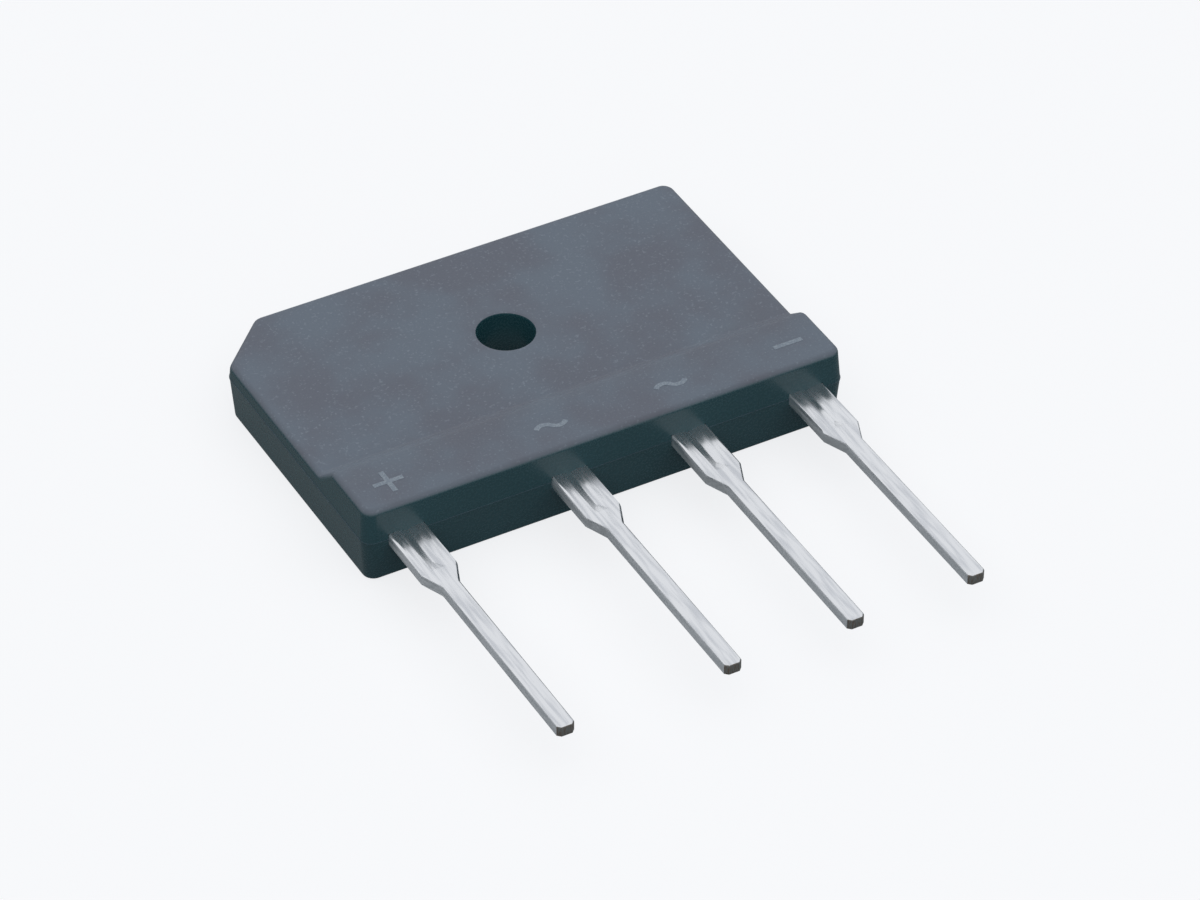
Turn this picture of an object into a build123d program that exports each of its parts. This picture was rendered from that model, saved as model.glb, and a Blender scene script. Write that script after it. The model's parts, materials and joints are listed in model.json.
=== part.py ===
"""Single-in-line bridge rectifier in a flat moulded body with one screw hole.

The part lies on its heat-sink face. The origin is where the axis of the screw hole
meets that face. +X runs along the body, away from the cut corner, +Z runs up out of
the printed face, and the four leads point along -Y. Sizes are in millimetres.
"""
from build123d import *
from math import sqrt
import os

# Moulded body
PANEL_THICKNESS = 3.6
BAND_RISE = 1.2
BAND_WIDTH = 4.2
BAND_SLOPE_RUN = 1.5
BAND_SLOPE_BLEND = 0.6
CORNER_CUT = 3.2
CORNER_RADIUS = 0.7
TOP_EDGE_RADIUS = 0.35
BACK_EDGE_RADIUS = 0.15
DRAFT_DEGREES = 4.0
SIDE_FACE_RISE = 0.3

# Screw hole
HOLE_DIAMETER = 3.3
HOLE_TO_LEAD_EDGE = 12.0
HOLE_TO_TOP_EDGE = 8.0
HOLE_MOUTH_BEVEL = 0.2
HOLE_WALL = 1.3

# Leads outside the body
LEAD_FIRST_PITCH = 10.0
LEAD_PITCH = 7.5
LEAD_TO_BODY_END = 2.5
LEAD_HEIGHT = 2.7
LEAD_LENGTH = 18.0
SHEET_THICKNESS = 0.7
ROOT_WIDTH = 2.2
ROOT_LENGTH = 3.8
SHOULDER_LENGTH = 1.4
PIN_WIDTH = 1.05
TIP_BEVEL = 0.2
GROOVE_WIDTH = 0.9
GROOVE_DEPTH = 0.14
GROOVE_LOCK = 0.6

# Lead frames inside the body
SIDE_WALL = 1.0
BACK_WALL = 0.75
FRAME_GAP = 1.0
JOGGLE_INSET = 1.2
JOGGLE_RUN = 1.6
JOGGLE_TO_PAD = 0.4
SHEET_BEND = 0.5
POSITIVE_STRIP_WIDTH = 3.0
POSITIVE_PAD_DEPTH = 6.3
NEGATIVE_PAD_WIDTH = 3.8
NEGATIVE_PAD_DEPTH = 6.5
FRAME_CORNER_RADIUS = 0.35
LOCK_HOLE_DIAMETER = 1.0
LOCK_HOLE_INSET = 1.2

# Diode dice, solder and clips
DIE_SIZE = 3.6
DIE_THICKNESS = 0.3
DIE_BEVEL = 0.12
DIE_MARGIN = 0.7
UPPER_DIE_OFFSET = 6.8
SOLDER_THICKNESS = 0.08
SOLDER_MARGIN = 0.1
CLIP_WIDTH = 2.4
CLIP_THICKNESS = 0.4
CLIP_BEND = 0.3
CLIP_CORNER_RADIUS = 0.3
CLIP_FOOT = 2.2
CLIP_LANDING = 1.6
CLIP_ARCH = 0.35
CLIP_ARCH_RUN = 0.4
CLIP_DROP_RUN = 0.7
LANDING_MARGIN = 0.5

# Lead centres along the body, in the order positive, two AC, negative
LEAD_SPAN = LEAD_FIRST_PITCH + 2 * LEAD_PITCH
LEAD_X = [
    -LEAD_SPAN / 2,
    -LEAD_SPAN / 2 + LEAD_FIRST_PITCH,
    LEAD_SPAN / 2 - LEAD_PITCH,
    LEAD_SPAN / 2,
]

# Edges of the body at its parting line, and its greatest height
RIGHT_END = LEAD_SPAN / 2 + LEAD_TO_BODY_END
LEFT_END = -RIGHT_END
LEAD_EDGE = -HOLE_TO_LEAD_EDGE
TOP_EDGE = HOLE_TO_TOP_EDGE
BAND_TOP = PANEL_THICKNESS + BAND_RISE

# Edges of the frames inside the body
FRAME_RIGHT = RIGHT_END - SIDE_WALL
FRAME_LEFT = LEFT_END + SIDE_WALL
FRAME_TOP = TOP_EDGE - SIDE_WALL
PAD_BOTTOM = LEAD_EDGE + JOGGLE_INSET + JOGGLE_RUN + JOGGLE_TO_PAD
POSITIVE_PAD_BOTTOM = FRAME_TOP - POSITIVE_PAD_DEPTH
AC_PAD_TOP = POSITIVE_PAD_BOTTOM - FRAME_GAP
AC_PAD_LEFT = FRAME_LEFT + POSITIVE_STRIP_WIDTH + FRAME_GAP
NEGATIVE_PAD_LEFT = FRAME_RIGHT - NEGATIVE_PAD_WIDTH
NEGATIVE_PAD_TOP = PAD_BOTTOM + NEGATIVE_PAD_DEPTH
AC_PAD_RIGHT = NEGATIVE_PAD_LEFT - FRAME_GAP

# Heights of the stack, from the heat-sink face up
PAD_TOP = BACK_WALL + SHEET_THICKNESS
DIE_BOTTOM = PAD_TOP + SOLDER_THICKNESS
DIE_TOP = DIE_BOTTOM + DIE_THICKNESS
CLIP_ON_DIE = DIE_TOP + SOLDER_THICKNESS + CLIP_THICKNESS / 2
CLIP_ARCHED = CLIP_ON_DIE + CLIP_ARCH
CLIP_ON_PAD = PAD_TOP + SOLDER_THICKNESS + CLIP_THICKNESS / 2

# Die centres: one and two on the positive frame, three and four on the AC frames
UPPER_ROW = (POSITIVE_PAD_BOTTOM + FRAME_TOP) / 2
LOWER_ROW = PAD_BOTTOM + DIE_MARGIN + DIE_SIZE / 2
DIE_CENTRES = [
    (-UPPER_DIE_OFFSET, UPPER_ROW),
    (UPPER_DIE_OFFSET, UPPER_ROW),
    ((AC_PAD_LEFT - FRAME_GAP / 2) / 2, LOWER_ROW),
    ((AC_PAD_RIGHT + FRAME_GAP / 2) / 2, LOWER_ROW),
]
AC_LANDING_Y = AC_PAD_TOP - LANDING_MARGIN - CLIP_LANDING / 2
NEGATIVE_LANDING_X = (NEGATIVE_PAD_LEFT + FRAME_RIGHT) / 2


def rectangle_between(left, bottom, right, top):
    """A rectangle given by its lower left and upper right corners."""
    return Pos((left + right) / 2, (bottom + top) / 2) * Rectangle(right - left, top - bottom)


def upper_left_vertex(outline):
    """The corner of an outline that lies above the positive lead."""
    return outline.vertices().sort_by(Axis.Y)[-2:].sort_by(Axis.X)[0]


def prism(outline, bottom, top):
    """A flat outline raised from one height to another."""
    return extrude(Pos(0, 0, bottom) * outline, top - bottom)


def bent_strip(plane, middle_line, thickness, bend):
    """The edge view of a bent sheet, drawn about its middle line on a plane."""
    return plane * trace(FilletPolyline(*middle_line, radius=bend), line_width=thickness)


# Moulded body

def drafted_block():
    """Both mould halves, which taper away from the parting line at the leads."""
    square = rectangle_between(LEFT_END, LEAD_EDGE, RIGHT_END, TOP_EDGE)
    cut = chamfer(upper_left_vertex(square), CORNER_CUT)
    outline = Pos(0, 0, LEAD_HEIGHT) * fillet(cut.vertices(), CORNER_RADIUS)
    upper = extrude(outline, BAND_TOP - LEAD_HEIGHT, taper=DRAFT_DEGREES)
    lower = extrude(outline, LEAD_HEIGHT, dir=(0, 0, -1), taper=DRAFT_DEGREES)
    return upper + lower


def space_over_panel():
    """What the thin panel lacks under the full height, up to the slope of the band."""
    slope_top = LEAD_EDGE + BAND_WIDTH
    slope_foot = slope_top + BAND_SLOPE_RUN
    side_view = Polyline(
        (slope_top - BAND_SLOPE_RUN, BAND_TOP),
        (slope_top, BAND_TOP),
        (slope_foot, PANEL_THICKNESS),
        (TOP_EDGE + BAND_SLOPE_RUN, PANEL_THICKNESS),
        (TOP_EDGE + BAND_SLOPE_RUN, BAND_TOP + BAND_RISE),
        (slope_top - BAND_SLOPE_RUN, BAND_TOP + BAND_RISE),
        close=True,
    )
    section = make_face(side_view)
    crest_and_foot = section.vertices().sort_by(Axis.X)[2:4]
    section = fillet(crest_and_foot, BAND_SLOPE_BLEND)
    return extrude(Plane.YZ * section, RIGHT_END, both=True)


def round_rim(solid, looking, radius):
    """A solid rounded where the faces that look up (1) or down (-1) meet its sides."""
    faces = solid.faces()
    level = faces.filter_by(lambda face: face.normal_at().Z * looking > SIDE_FACE_RISE)
    sides = faces.filter_by(lambda face: abs(face.normal_at().Z) < SIDE_FACE_RISE)
    side_edges = sides.edges()
    return fillet([edge for edge in level.edges() if edge in side_edges], radius)


def moulded_shell():
    """The body's outside with its screw hole, still solid inside."""
    stepped = drafted_block() - space_over_panel()
    softened = round_rim(stepped, 1, TOP_EDGE_RADIUS)
    softened = round_rim(softened, -1, BACK_EDGE_RADIUS)
    hole = prism(Circle(HOLE_DIAMETER / 2), 0, PANEL_THICKNESS)
    mouth = Pos(0, 0, PANEL_THICKNESS - HOLE_MOUTH_BEVEL / 2) * Cone(
        HOLE_DIAMETER / 2, HOLE_DIAMETER / 2 + HOLE_MOUTH_BEVEL, HOLE_MOUTH_BEVEL
    )
    return softened - hole - mouth


# Leads and their frames

def lead_outline(x):
    """The flat outline of one lead: pin, tapered shoulder and wide root."""
    tip = LEAD_EDGE - LEAD_LENGTH
    root_end = LEAD_EDGE - ROOT_LENGTH
    half = [
        (PIN_WIDTH / 2 - TIP_BEVEL, tip),
        (PIN_WIDTH / 2, tip + TIP_BEVEL),
        (PIN_WIDTH / 2, root_end - SHOULDER_LENGTH),
        (ROOT_WIDTH / 2, root_end),
        (ROOT_WIDTH / 2, PAD_BOTTOM + FRAME_CORNER_RADIUS),
    ]
    mirrored = [(-px, py) for px, py in reversed(half)]
    return Pos(x, 0) * make_face(Polyline(*half, *mirrored, close=True))


def hole_clearance():
    """The disc round the screw hole that the frames keep out of."""
    return Circle(HOLE_DIAMETER / 2 + HOLE_WALL)


def lock_hole(x, y):
    """A round hole that the moulding flows through to hold a frame."""
    return Pos(x, y) * Circle(LOCK_HOLE_DIAMETER / 2)


def positive_frame():
    """The positive lead's strip up the left side and pad across the top."""
    strip_right = FRAME_LEFT + POSITIVE_STRIP_WIDTH
    strip = rectangle_between(FRAME_LEFT, PAD_BOTTOM, strip_right, FRAME_TOP)
    pad = rectangle_between(FRAME_LEFT, POSITIVE_PAD_BOTTOM, FRAME_RIGHT, FRAME_TOP)
    plate = strip + pad
    plate = chamfer(upper_left_vertex(plate), CORNER_CUT - SIDE_WALL * (2 - sqrt(2)))
    plate = fillet((plate - hole_clearance()).vertices(), FRAME_CORNER_RADIUS)
    in_strip = lock_hole(FRAME_LEFT + POSITIVE_STRIP_WIDTH / 2, PAD_BOTTOM + POSITIVE_STRIP_WIDTH)
    in_corner = lock_hole(FRAME_RIGHT - LOCK_HOLE_INSET, FRAME_TOP - LOCK_HOLE_INSET)
    return plate - in_strip - in_corner


def ac_frame(left, right, lock_x):
    """One AC lead's pad, under a lower die and the landing of an AC clip."""
    pad = rectangle_between(left, PAD_BOTTOM, right, AC_PAD_TOP) - hole_clearance()
    pad = fillet(pad.vertices(), FRAME_CORNER_RADIUS)
    return pad - lock_hole(lock_x, PAD_BOTTOM + LOCK_HOLE_INSET)


def negative_frame():
    """The negative lead's pad, where the long clip lands."""
    pad = rectangle_between(NEGATIVE_PAD_LEFT, PAD_BOTTOM, FRAME_RIGHT, NEGATIVE_PAD_TOP)
    pad = fillet(pad.vertices(), FRAME_CORNER_RADIUS)
    return pad - lock_hole(FRAME_RIGHT - LOCK_HOLE_INSET, NEGATIVE_PAD_TOP - LOCK_HOLE_INSET)


def formed_sheet():
    """The sheet that every lead is stamped from, joggled down to the pads."""
    joggle_start = LEAD_EDGE + JOGGLE_INSET
    pad_middle = BACK_WALL + SHEET_THICKNESS / 2
    edge_view = bent_strip(
        Plane.YZ,
        [
            (LEAD_EDGE - LEAD_LENGTH - SIDE_WALL, LEAD_HEIGHT),
            (joggle_start, LEAD_HEIGHT),
            (joggle_start + JOGGLE_RUN, pad_middle),
            (TOP_EDGE, pad_middle),
        ],
        SHEET_THICKNESS,
        SHEET_BEND,
    )
    return extrude(edge_view, RIGHT_END, both=True)


def coined_groove(x):
    """The shallow V pressed along a lead's wide root, which starts inside the body."""
    surface = LEAD_HEIGHT + SHEET_THICKNESS / 2
    end_view = Polyline(
        (x - GROOVE_WIDTH / 2, surface),
        (x, surface - GROOVE_DEPTH),
        (x + GROOVE_WIDTH / 2, surface),
        close=True,
    )
    vee = extrude(Plane.XZ * make_face(end_view), GROOVE_LOCK + ROOT_LENGTH)
    return Pos(0, LEAD_EDGE + GROOVE_LOCK, 0) * vee


def leads():
    """All four leads by node name, each stamped with its frame as one piece."""
    sheet = formed_sheet()
    split = FRAME_GAP / 2
    frames = {
        "lead_positive": positive_frame(),
        "lead_ac_1": ac_frame(AC_PAD_LEFT, -split, -split - LOCK_HOLE_INSET),
        "lead_ac_2": ac_frame(split, AC_PAD_RIGHT, split + LOCK_HOLE_INSET),
        "lead_negative": negative_frame(),
    }
    pieces = {}
    for (name, frame), x in zip(frames.items(), LEAD_X):
        stamp = prism(frame + lead_outline(x), 0, LEAD_HEIGHT + SHEET_THICKNESS)
        pieces[name] = (sheet & stamp) - coined_groove(x)
    return pieces


# Dice, solder and clips

def slab(x, y, length, depth, bottom, thickness):
    """A flat rectangular layer, given by its centre and the height of its underside."""
    return prism(Pos(x, y) * Rectangle(length, depth), bottom, bottom + thickness)


def diode_die(x, y):
    """One die, with the bevel round its upper face that bares the junction."""
    blank = slab(x, y, DIE_SIZE, DIE_SIZE, DIE_BOTTOM, DIE_THICKNESS)
    return chamfer(blank.edges().group_by(Axis.Z)[-1], DIE_BEVEL)


def dice_and_solder():
    """Four diode dice, each with a solder layer below and one above."""
    pieces = {}
    under = DIE_SIZE - 2 * SOLDER_MARGIN
    across = CLIP_WIDTH - 2 * SOLDER_MARGIN
    along = CLIP_FOOT - 2 * SOLDER_MARGIN
    for number, (x, y) in enumerate(DIE_CENTRES, start=1):
        over = (across, along) if y == UPPER_ROW else (along, across)
        pieces[f"die_solder_{number}"] = slab(x, y, under, under, PAD_TOP, SOLDER_THICKNESS)
        pieces[f"diode_die_{number}"] = diode_die(x, y)
        pieces[f"clip_solder_{number}"] = slab(x, y, *over, DIE_TOP, SOLDER_THICKNESS)
    return pieces


def landing_solder():
    """The solder where each clip lands on a lead's pad."""
    length = CLIP_LANDING - 2 * SOLDER_MARGIN
    width = CLIP_WIDTH - 2 * SOLDER_MARGIN
    places = {
        "landing_solder_ac_1": (-UPPER_DIE_OFFSET, AC_LANDING_Y, width, length),
        "landing_solder_ac_2": (UPPER_DIE_OFFSET, AC_LANDING_Y, width, length),
        "landing_solder_negative": (NEGATIVE_LANDING_X, LOWER_ROW, length, width),
    }
    return {name: slab(*place, PAD_TOP, SOLDER_THICKNESS) for name, place in places.items()}


def clip(plane, middle_line):
    """A bent strip of clip metal across a plane, with rounded corners."""
    edge_view = bent_strip(plane, middle_line, CLIP_THICKNESS, CLIP_BEND)
    strip = extrude(edge_view, CLIP_WIDTH / 2, both=True)
    return fillet(strip.edges().filter_by(Axis.Z), CLIP_CORNER_RADIUS)


def ac_clip(x):
    """A clip from an upper die down onto an AC pad."""
    foot_end = UPPER_ROW - CLIP_FOOT / 2
    landing_start = AC_LANDING_Y + CLIP_LANDING / 2
    middle_line = [
        (UPPER_ROW + CLIP_FOOT / 2, CLIP_ON_DIE),
        (foot_end, CLIP_ON_DIE),
        (foot_end - CLIP_ARCH_RUN, CLIP_ARCHED),
        (landing_start + CLIP_DROP_RUN, CLIP_ARCHED),
        (landing_start, CLIP_ON_PAD),
        (AC_LANDING_Y - CLIP_LANDING / 2, CLIP_ON_PAD),
    ]
    return Pos(x, 0, 0) * clip(Plane.YZ, middle_line)


def negative_clip():
    """The long clip over both lower dice and down onto the negative pad."""
    first, second = (centre[0] for centre in DIE_CENTRES[2:])
    half_foot = CLIP_FOOT / 2
    landing_start = NEGATIVE_LANDING_X - CLIP_LANDING / 2
    middle_line = [
        (first - half_foot, CLIP_ON_DIE),
        (first + half_foot, CLIP_ON_DIE),
        (first + half_foot + CLIP_ARCH_RUN, CLIP_ARCHED),
        (second - half_foot - CLIP_ARCH_RUN, CLIP_ARCHED),
        (second - half_foot, CLIP_ON_DIE),
        (second + half_foot, CLIP_ON_DIE),
        (second + half_foot + CLIP_ARCH_RUN, CLIP_ARCHED),
        (landing_start - CLIP_DROP_RUN, CLIP_ARCHED),
        (landing_start, CLIP_ON_PAD),
        (NEGATIVE_LANDING_X + CLIP_LANDING / 2, CLIP_ON_PAD),
    ]
    return Pos(0, LOWER_ROW, 0) * clip(Plane.XZ, middle_line)


# The whole rectifier

def rectifier():
    """Every piece by node name, with the body moulded round all that it holds."""
    held = {
        **leads(),
        **dice_and_solder(),
        **landing_solder(),
        "clip_ac_1": ac_clip(-UPPER_DIE_OFFSET),
        "clip_ac_2": ac_clip(UPPER_DIE_OFFSET),
        "clip_negative": negative_clip(),
    }
    return {"body": moulded_shell() - list(held.values()), **held}


os.makedirs("parts", exist_ok=True)
for node_name, piece in rectifier().items():
    export_step(piece, f"parts/{node_name}.step")
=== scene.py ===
"""The looks of a flat moulded bridge rectifier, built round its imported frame.

A black epoxy body with one screw hole lies on its heat-sink face, and four tinned
copper leads stand out of its front edge. All sizes are in metres, in the frame's axes:
+X runs along the body, away from the cut corner, +Z up, and the leads point along -Y.
"""

import json
import logging
import math
from collections.abc import Callable, Iterator
from contextlib import contextmanager
from dataclasses import dataclass
from enum import Enum

import bmesh
import bpy
from mathutils import Matrix, Vector

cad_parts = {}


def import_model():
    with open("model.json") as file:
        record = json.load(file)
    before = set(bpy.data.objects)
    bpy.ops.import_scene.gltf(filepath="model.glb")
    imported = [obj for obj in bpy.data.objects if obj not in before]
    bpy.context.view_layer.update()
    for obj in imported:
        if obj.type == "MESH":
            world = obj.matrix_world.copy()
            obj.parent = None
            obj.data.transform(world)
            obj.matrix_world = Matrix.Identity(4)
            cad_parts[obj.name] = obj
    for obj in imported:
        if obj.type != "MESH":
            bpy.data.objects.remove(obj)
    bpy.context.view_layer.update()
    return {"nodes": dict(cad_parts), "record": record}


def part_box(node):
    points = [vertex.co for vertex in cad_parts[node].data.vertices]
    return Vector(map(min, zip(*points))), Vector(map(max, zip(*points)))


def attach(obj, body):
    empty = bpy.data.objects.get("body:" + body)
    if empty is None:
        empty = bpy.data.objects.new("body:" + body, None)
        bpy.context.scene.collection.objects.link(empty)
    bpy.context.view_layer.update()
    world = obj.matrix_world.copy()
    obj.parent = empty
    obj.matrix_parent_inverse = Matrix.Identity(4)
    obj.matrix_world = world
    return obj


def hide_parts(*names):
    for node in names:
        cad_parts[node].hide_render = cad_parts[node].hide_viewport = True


Piece = bpy.types.Object
Material = bpy.types.Material
Tree = bpy.types.NodeTree
Socket = bpy.types.NodeSocket
Edge = bmesh.types.BMEdge
Face = bmesh.types.BMFace
Point = tuple[float, float, float]
Range = tuple[float, float]
Number = float | Socket
Colour = str | Socket

MM = 0.001
BODY = "root"
log = logging.getLogger("bridge_rectifier")

# How near is the same: for places, points that merge, angles and directions
TOUCH = 0.01 * MM
MERGE = 0.001 * MM
SAME_TURN = math.radians(1.0)
SAME_WAY = 0.9

# How much faces turn at an edge: none to the eye, enough to look sharp on a moulding,
# at the cut corner, and at a square one
FLAT_TURN = math.radians(0.5)
SHARP_TURN = math.radians(25.0)
CUT_TURN = math.radians(45.0)
SQUARE_TURN = math.radians(90.0)

# How much a normal rises: at the least on a level face, and at the most on a wall that
# the punch cut and on a drafted one
LEVEL_RISE = 0.99
WALL_RISE = 0.1
DRAFTED_RISE = 0.3

ALONG_Y = (0, 1, 0)
UPWARDS = (0, 0, 1)


class Pick(Enum):
    """What a selection in edit mode is made of."""

    VERTICES = "VERT"
    EDGES = "EDGE"
    FACES = "FACE"


class Slot(Enum):
    """The record's material slots that new pieces are seated with."""

    EPOXY = "moulded_epoxy"
    TIN = "tinned_copper"


class Sign(Enum):
    """The polarity sign that is marked over a lead."""

    PLUS = "plus"
    WAVE = "wave"
    MINUS = "minus"


# Work in edit mode


def deselect_all() -> None:
    """Leaves edit mode, and nothing selected."""
    if bpy.context.mode != "OBJECT":
        bpy.ops.object.mode_set(mode="OBJECT")
    bpy.ops.object.select_all(action="DESELECT")


def pick_piece(piece: Piece) -> None:
    """Makes one piece the only one selected, and the active one.

    Args:
        piece: The piece.
    """
    deselect_all()
    piece.select_set(True)
    bpy.context.view_layer.objects.active = piece


@contextmanager
def editing(piece: Piece) -> Iterator[None]:
    """Holds one piece in edit mode, and goes back to object mode at the end.

    Args:
        piece: The piece to edit.
    """
    pick_piece(piece)
    bpy.ops.object.mode_set(mode="EDIT")
    yield
    bpy.ops.object.mode_set(mode="OBJECT")


def select(piece: Piece, pick: Pick, test: Callable[..., bool]) -> None:
    """Selects what passes a test on its place or normal, in edit mode.

    Args:
        piece: The piece in edit mode.
        pick: Whether vertices, edges or faces are tested.
        test: Takes one vertex, edge or face and says whether it is wanted.
    """
    bpy.ops.mesh.select_mode(type=pick.value)
    bpy.ops.mesh.select_all(action="DESELECT")
    mesh = bmesh.from_edit_mesh(piece.data)
    kinds = {Pick.VERTICES: mesh.verts, Pick.EDGES: mesh.edges, Pick.FACES: mesh.faces}
    for element in kinds[pick]:
        if test(element):
            element.select_set(True)
    bmesh.update_edit_mesh(piece.data)


def near(value: float, target: float) -> bool:
    """Whether two places along an axis are the same."""
    return abs(value - target) < TOUCH


def both_ends(test: Callable[[Vector], bool]) -> Callable[[Edge], bool]:
    """A test that an edge passes when both of its ends pass one on their place."""
    return lambda edge: all(test(vertex.co) for vertex in edge.verts)


def apart(edge: Edge, axis: str) -> float:
    """How far the ends of an edge are apart along the axis x, y or z."""
    first, last = (getattr(vertex.co, axis) for vertex in edge.verts)
    return abs(first - last)


def turns_by(edge: Edge, turn: float) -> bool:
    """Whether the faces at an edge turn by an angle in radians."""
    return abs(edge.calc_face_angle(0.0) - turn) < SAME_TURN


def looks_along(face: Face, direction: Vector) -> bool:
    """Whether a face looks along a direction."""
    return face.normal.dot(direction) > SAME_WAY


def split_at(point: Point, normal: Point) -> None:
    """Cuts new edges all round the piece in edit mode, where a plane meets it.

    Args:
        point: A point of the plane.
        normal: The plane's normal.
    """
    bpy.ops.mesh.select_all(action="SELECT")
    bpy.ops.mesh.bisect(plane_co=point, plane_no=normal, threshold=MERGE)


def merge_flat() -> None:
    """Merges the flat neighbours among all faces of the piece in edit mode."""
    bpy.ops.mesh.select_all(action="SELECT")
    bpy.ops.mesh.dissolve_limited(angle_limit=FLAT_TURN)


def tangent_length(radius: float, turn: float) -> float:
    """How far from a corner with this turn a round of this radius begins."""
    return radius * math.tan(turn / 2)


def round_selected(offset: float, segments: int = 1) -> None:
    """Rounds the selected edges.

    Args:
        offset: How far each new edge lies from the old one.
        segments: The facets across the round, where one leaves a flat bevel.
    """
    bpy.ops.mesh.bevel(offset=offset, offset_type="OFFSET", segments=segments, affect="EDGES")


def subtract(solid: Piece, tools: list[Piece]) -> None:
    """Takes tool pieces away from a solid, and removes them.

    Args:
        solid: The piece that is cut.
        tools: The pieces that cut it.
    """
    for tool in tools:
        pick_piece(solid)
        bpy.ops.object.modifier_add(type="BOOLEAN")
        cut = solid.modifiers[-1]
        cut.operation = "DIFFERENCE"
        cut.solver = "EXACT"
        cut.object = tool
        bpy.ops.object.modifier_apply(modifier=cut.name)
        bpy.data.objects.remove(tool)


def merged_copy(node: Piece, name: str) -> Piece:
    """A copy of a CAD node whose loose triangles are merged into flat faces.

    Args:
        node: The CAD node, which stays as it is.
        name: The copy's name.

    Returns:
        The copy, as a piece of its own.
    """
    copy = bpy.data.objects.new(name, node.data.copy())
    bpy.context.scene.collection.objects.link(copy)
    copy.data.materials.clear()
    with editing(copy):
        bpy.ops.mesh.customdata_custom_splitnormals_clear()
        bpy.ops.mesh.select_all(action="SELECT")
        bpy.ops.mesh.remove_doubles(threshold=MERGE)
        merge_flat()
    return copy


def finish_piece(piece: Piece, name: str, sharp_turn: float = SHARP_TURN) -> None:
    """Puts a piece's place into its mesh, and shades its rounds smooth and its flats flat.

    Args:
        piece: The modelled piece.
        name: Its name.
        sharp_turn: Edges that turn by more than this stay sharp, in radians.
    """
    pick_piece(piece)
    bpy.ops.object.transform_apply(location=True, rotation=True, scale=True)
    bpy.ops.object.shade_smooth_by_angle(angle=sharp_turn)
    bpy.ops.object.modifier_add(type="WEIGHTED_NORMAL")
    weighted = piece.modifiers[-1]
    weighted.keep_sharp = True
    bpy.ops.object.modifier_apply(modifier=weighted.name)
    piece.name = name
    piece.data.name = name


def give_finish(piece: Piece, *finishes: Material) -> None:
    """Takes a piece's materials away, and gives it these.

    Args:
        piece: The piece.
        finishes: Its materials, of which the first covers it all.
    """
    piece.data.materials.clear()
    for finish in finishes:
        piece.data.materials.append(finish)


def seat(piece: Piece, slot: Slot, *nodes: str) -> None:
    """Rides a piece on the body, and hides the CAD nodes that it replaces.

    Args:
        piece: The finished piece.
        slot: A material slot of the record; not used.
        nodes: The CAD nodes that it replaces.
    """
    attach(piece, BODY)
    if nodes:
        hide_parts(*nodes)
    log.info("%s: %d faces", piece.name, len(piece.data.polygons))


# Colours and patterns


# The values that most of a pattern lies between, and those of a share
PATTERN_CORE: Range = (0.3, 0.7)
SHARE: Range = (0.0, 1.0)

# A Mix node's share and two colours among its inputs, and the mixed one of its outputs
MIX_COLOUR_INPUTS = (0, 6, 7)
MIX_COLOUR_RESULT = 2


def linear(colour: str) -> tuple[float, float, float, float]:
    """An sRGB hex colour as the linear colour that shaders take.

    Args:
        colour: A colour such as "#46505C".

    Returns:
        Red, green, blue and an alpha of 1.
    """
    channels = [int(colour[start:start + 2], 16) / 255 for start in (1, 3, 5)]
    curved = [c / 12.92 if c <= 0.04045 else ((c + 0.055) / 1.055) ** 2.4 for c in channels]
    return (*curved, 1.0)


def add_node(tree: Tree, kind: str, inputs: dict | None = None, **settings: object) -> bpy.types.Node:
    """Adds a node with its settings, values and links.

    Args:
        tree: The tree that it goes into.
        kind: The node's type name.
        inputs: For each input, by name or number, a value or the socket to link to it.
        settings: The node's own properties.

    Returns:
        The new node.
    """
    node = tree.nodes.new(kind)
    for name, value in settings.items():
        setattr(node, name, value)
    for name, value in (inputs or {}).items():
        if isinstance(value, Socket):
            tree.links.new(value, node.inputs[name])
        else:
            node.inputs[name].default_value = value
    return node


def new_material(name: str) -> tuple[Material, Tree]:
    """An empty node material.

    Args:
        name: The material's name.

    Returns:
        The material and its node tree.
    """
    material = bpy.data.materials.new(name)
    material.use_nodes = True
    material.node_tree.nodes.clear()
    return material, material.node_tree


def pattern(tree: Tree, size: float | Point, detail: float = 2.0, turn: float = 0.0) -> Socket:
    """Noise on the piece's own coordinates, whose features have real sizes.

    Args:
        tree: The material's tree.
        size: The size of its features, or their sizes along X, Y and Z, in metres.
        detail: How many finer layers it has.
        turn: How far it is turned about Z, in radians.

    Returns:
        The socket of its value, about 0.5 on average.
    """
    sizes = size if isinstance(size, tuple) else (size,) * 3
    mapping = {
        "Vector": add_node(tree, "ShaderNodeTexCoord").outputs["Object"],
        "Rotation": (0.0, 0.0, turn),
        "Scale": tuple(1 / each for each in sizes),
    }
    place = add_node(tree, "ShaderNodeMapping", mapping).outputs["Vector"]
    inputs = {"Vector": place, "Scale": 1.0, "Detail": detail}
    return add_node(tree, "ShaderNodeTexNoise", inputs).outputs["Fac"]


def facing_up(tree: Tree) -> Socket:
    """1 on faces that look straight up or down, and 0 on upright walls.

    Args:
        tree: The material's tree.

    Returns:
        The value's socket.
    """
    normal = add_node(tree, "ShaderNodeNewGeometry").outputs["Normal"]
    rise = add_node(tree, "ShaderNodeSeparateXYZ", {"Vector": normal}).outputs["Z"]
    return add_node(tree, "ShaderNodeMath", {0: rise}, operation="ABSOLUTE").outputs["Value"]


def following(tree: Tree, value: Socket, between: Range, out: Range, base: Number = 0.0) -> Socket:
    """A number that follows a value smoothly, on top of a base.

    Args:
        tree: The material's tree.
        value: The value's socket.
        between: The two values between which the number changes.
        out: What is added to the base at the first and at the second of them.
        base: What that is added to.

    Returns:
        The number's socket.
    """
    inputs = {"Value": value}
    inputs.update(zip(("From Min", "From Max", "To Min", "To Max"), between + out))
    eased = add_node(tree, "ShaderNodeMapRange", inputs, interpolation_type="SMOOTHSTEP").outputs["Result"]
    return add_node(tree, "ShaderNodeMath", {0: base, 1: eased}, operation="ADD").outputs["Value"]


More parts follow.
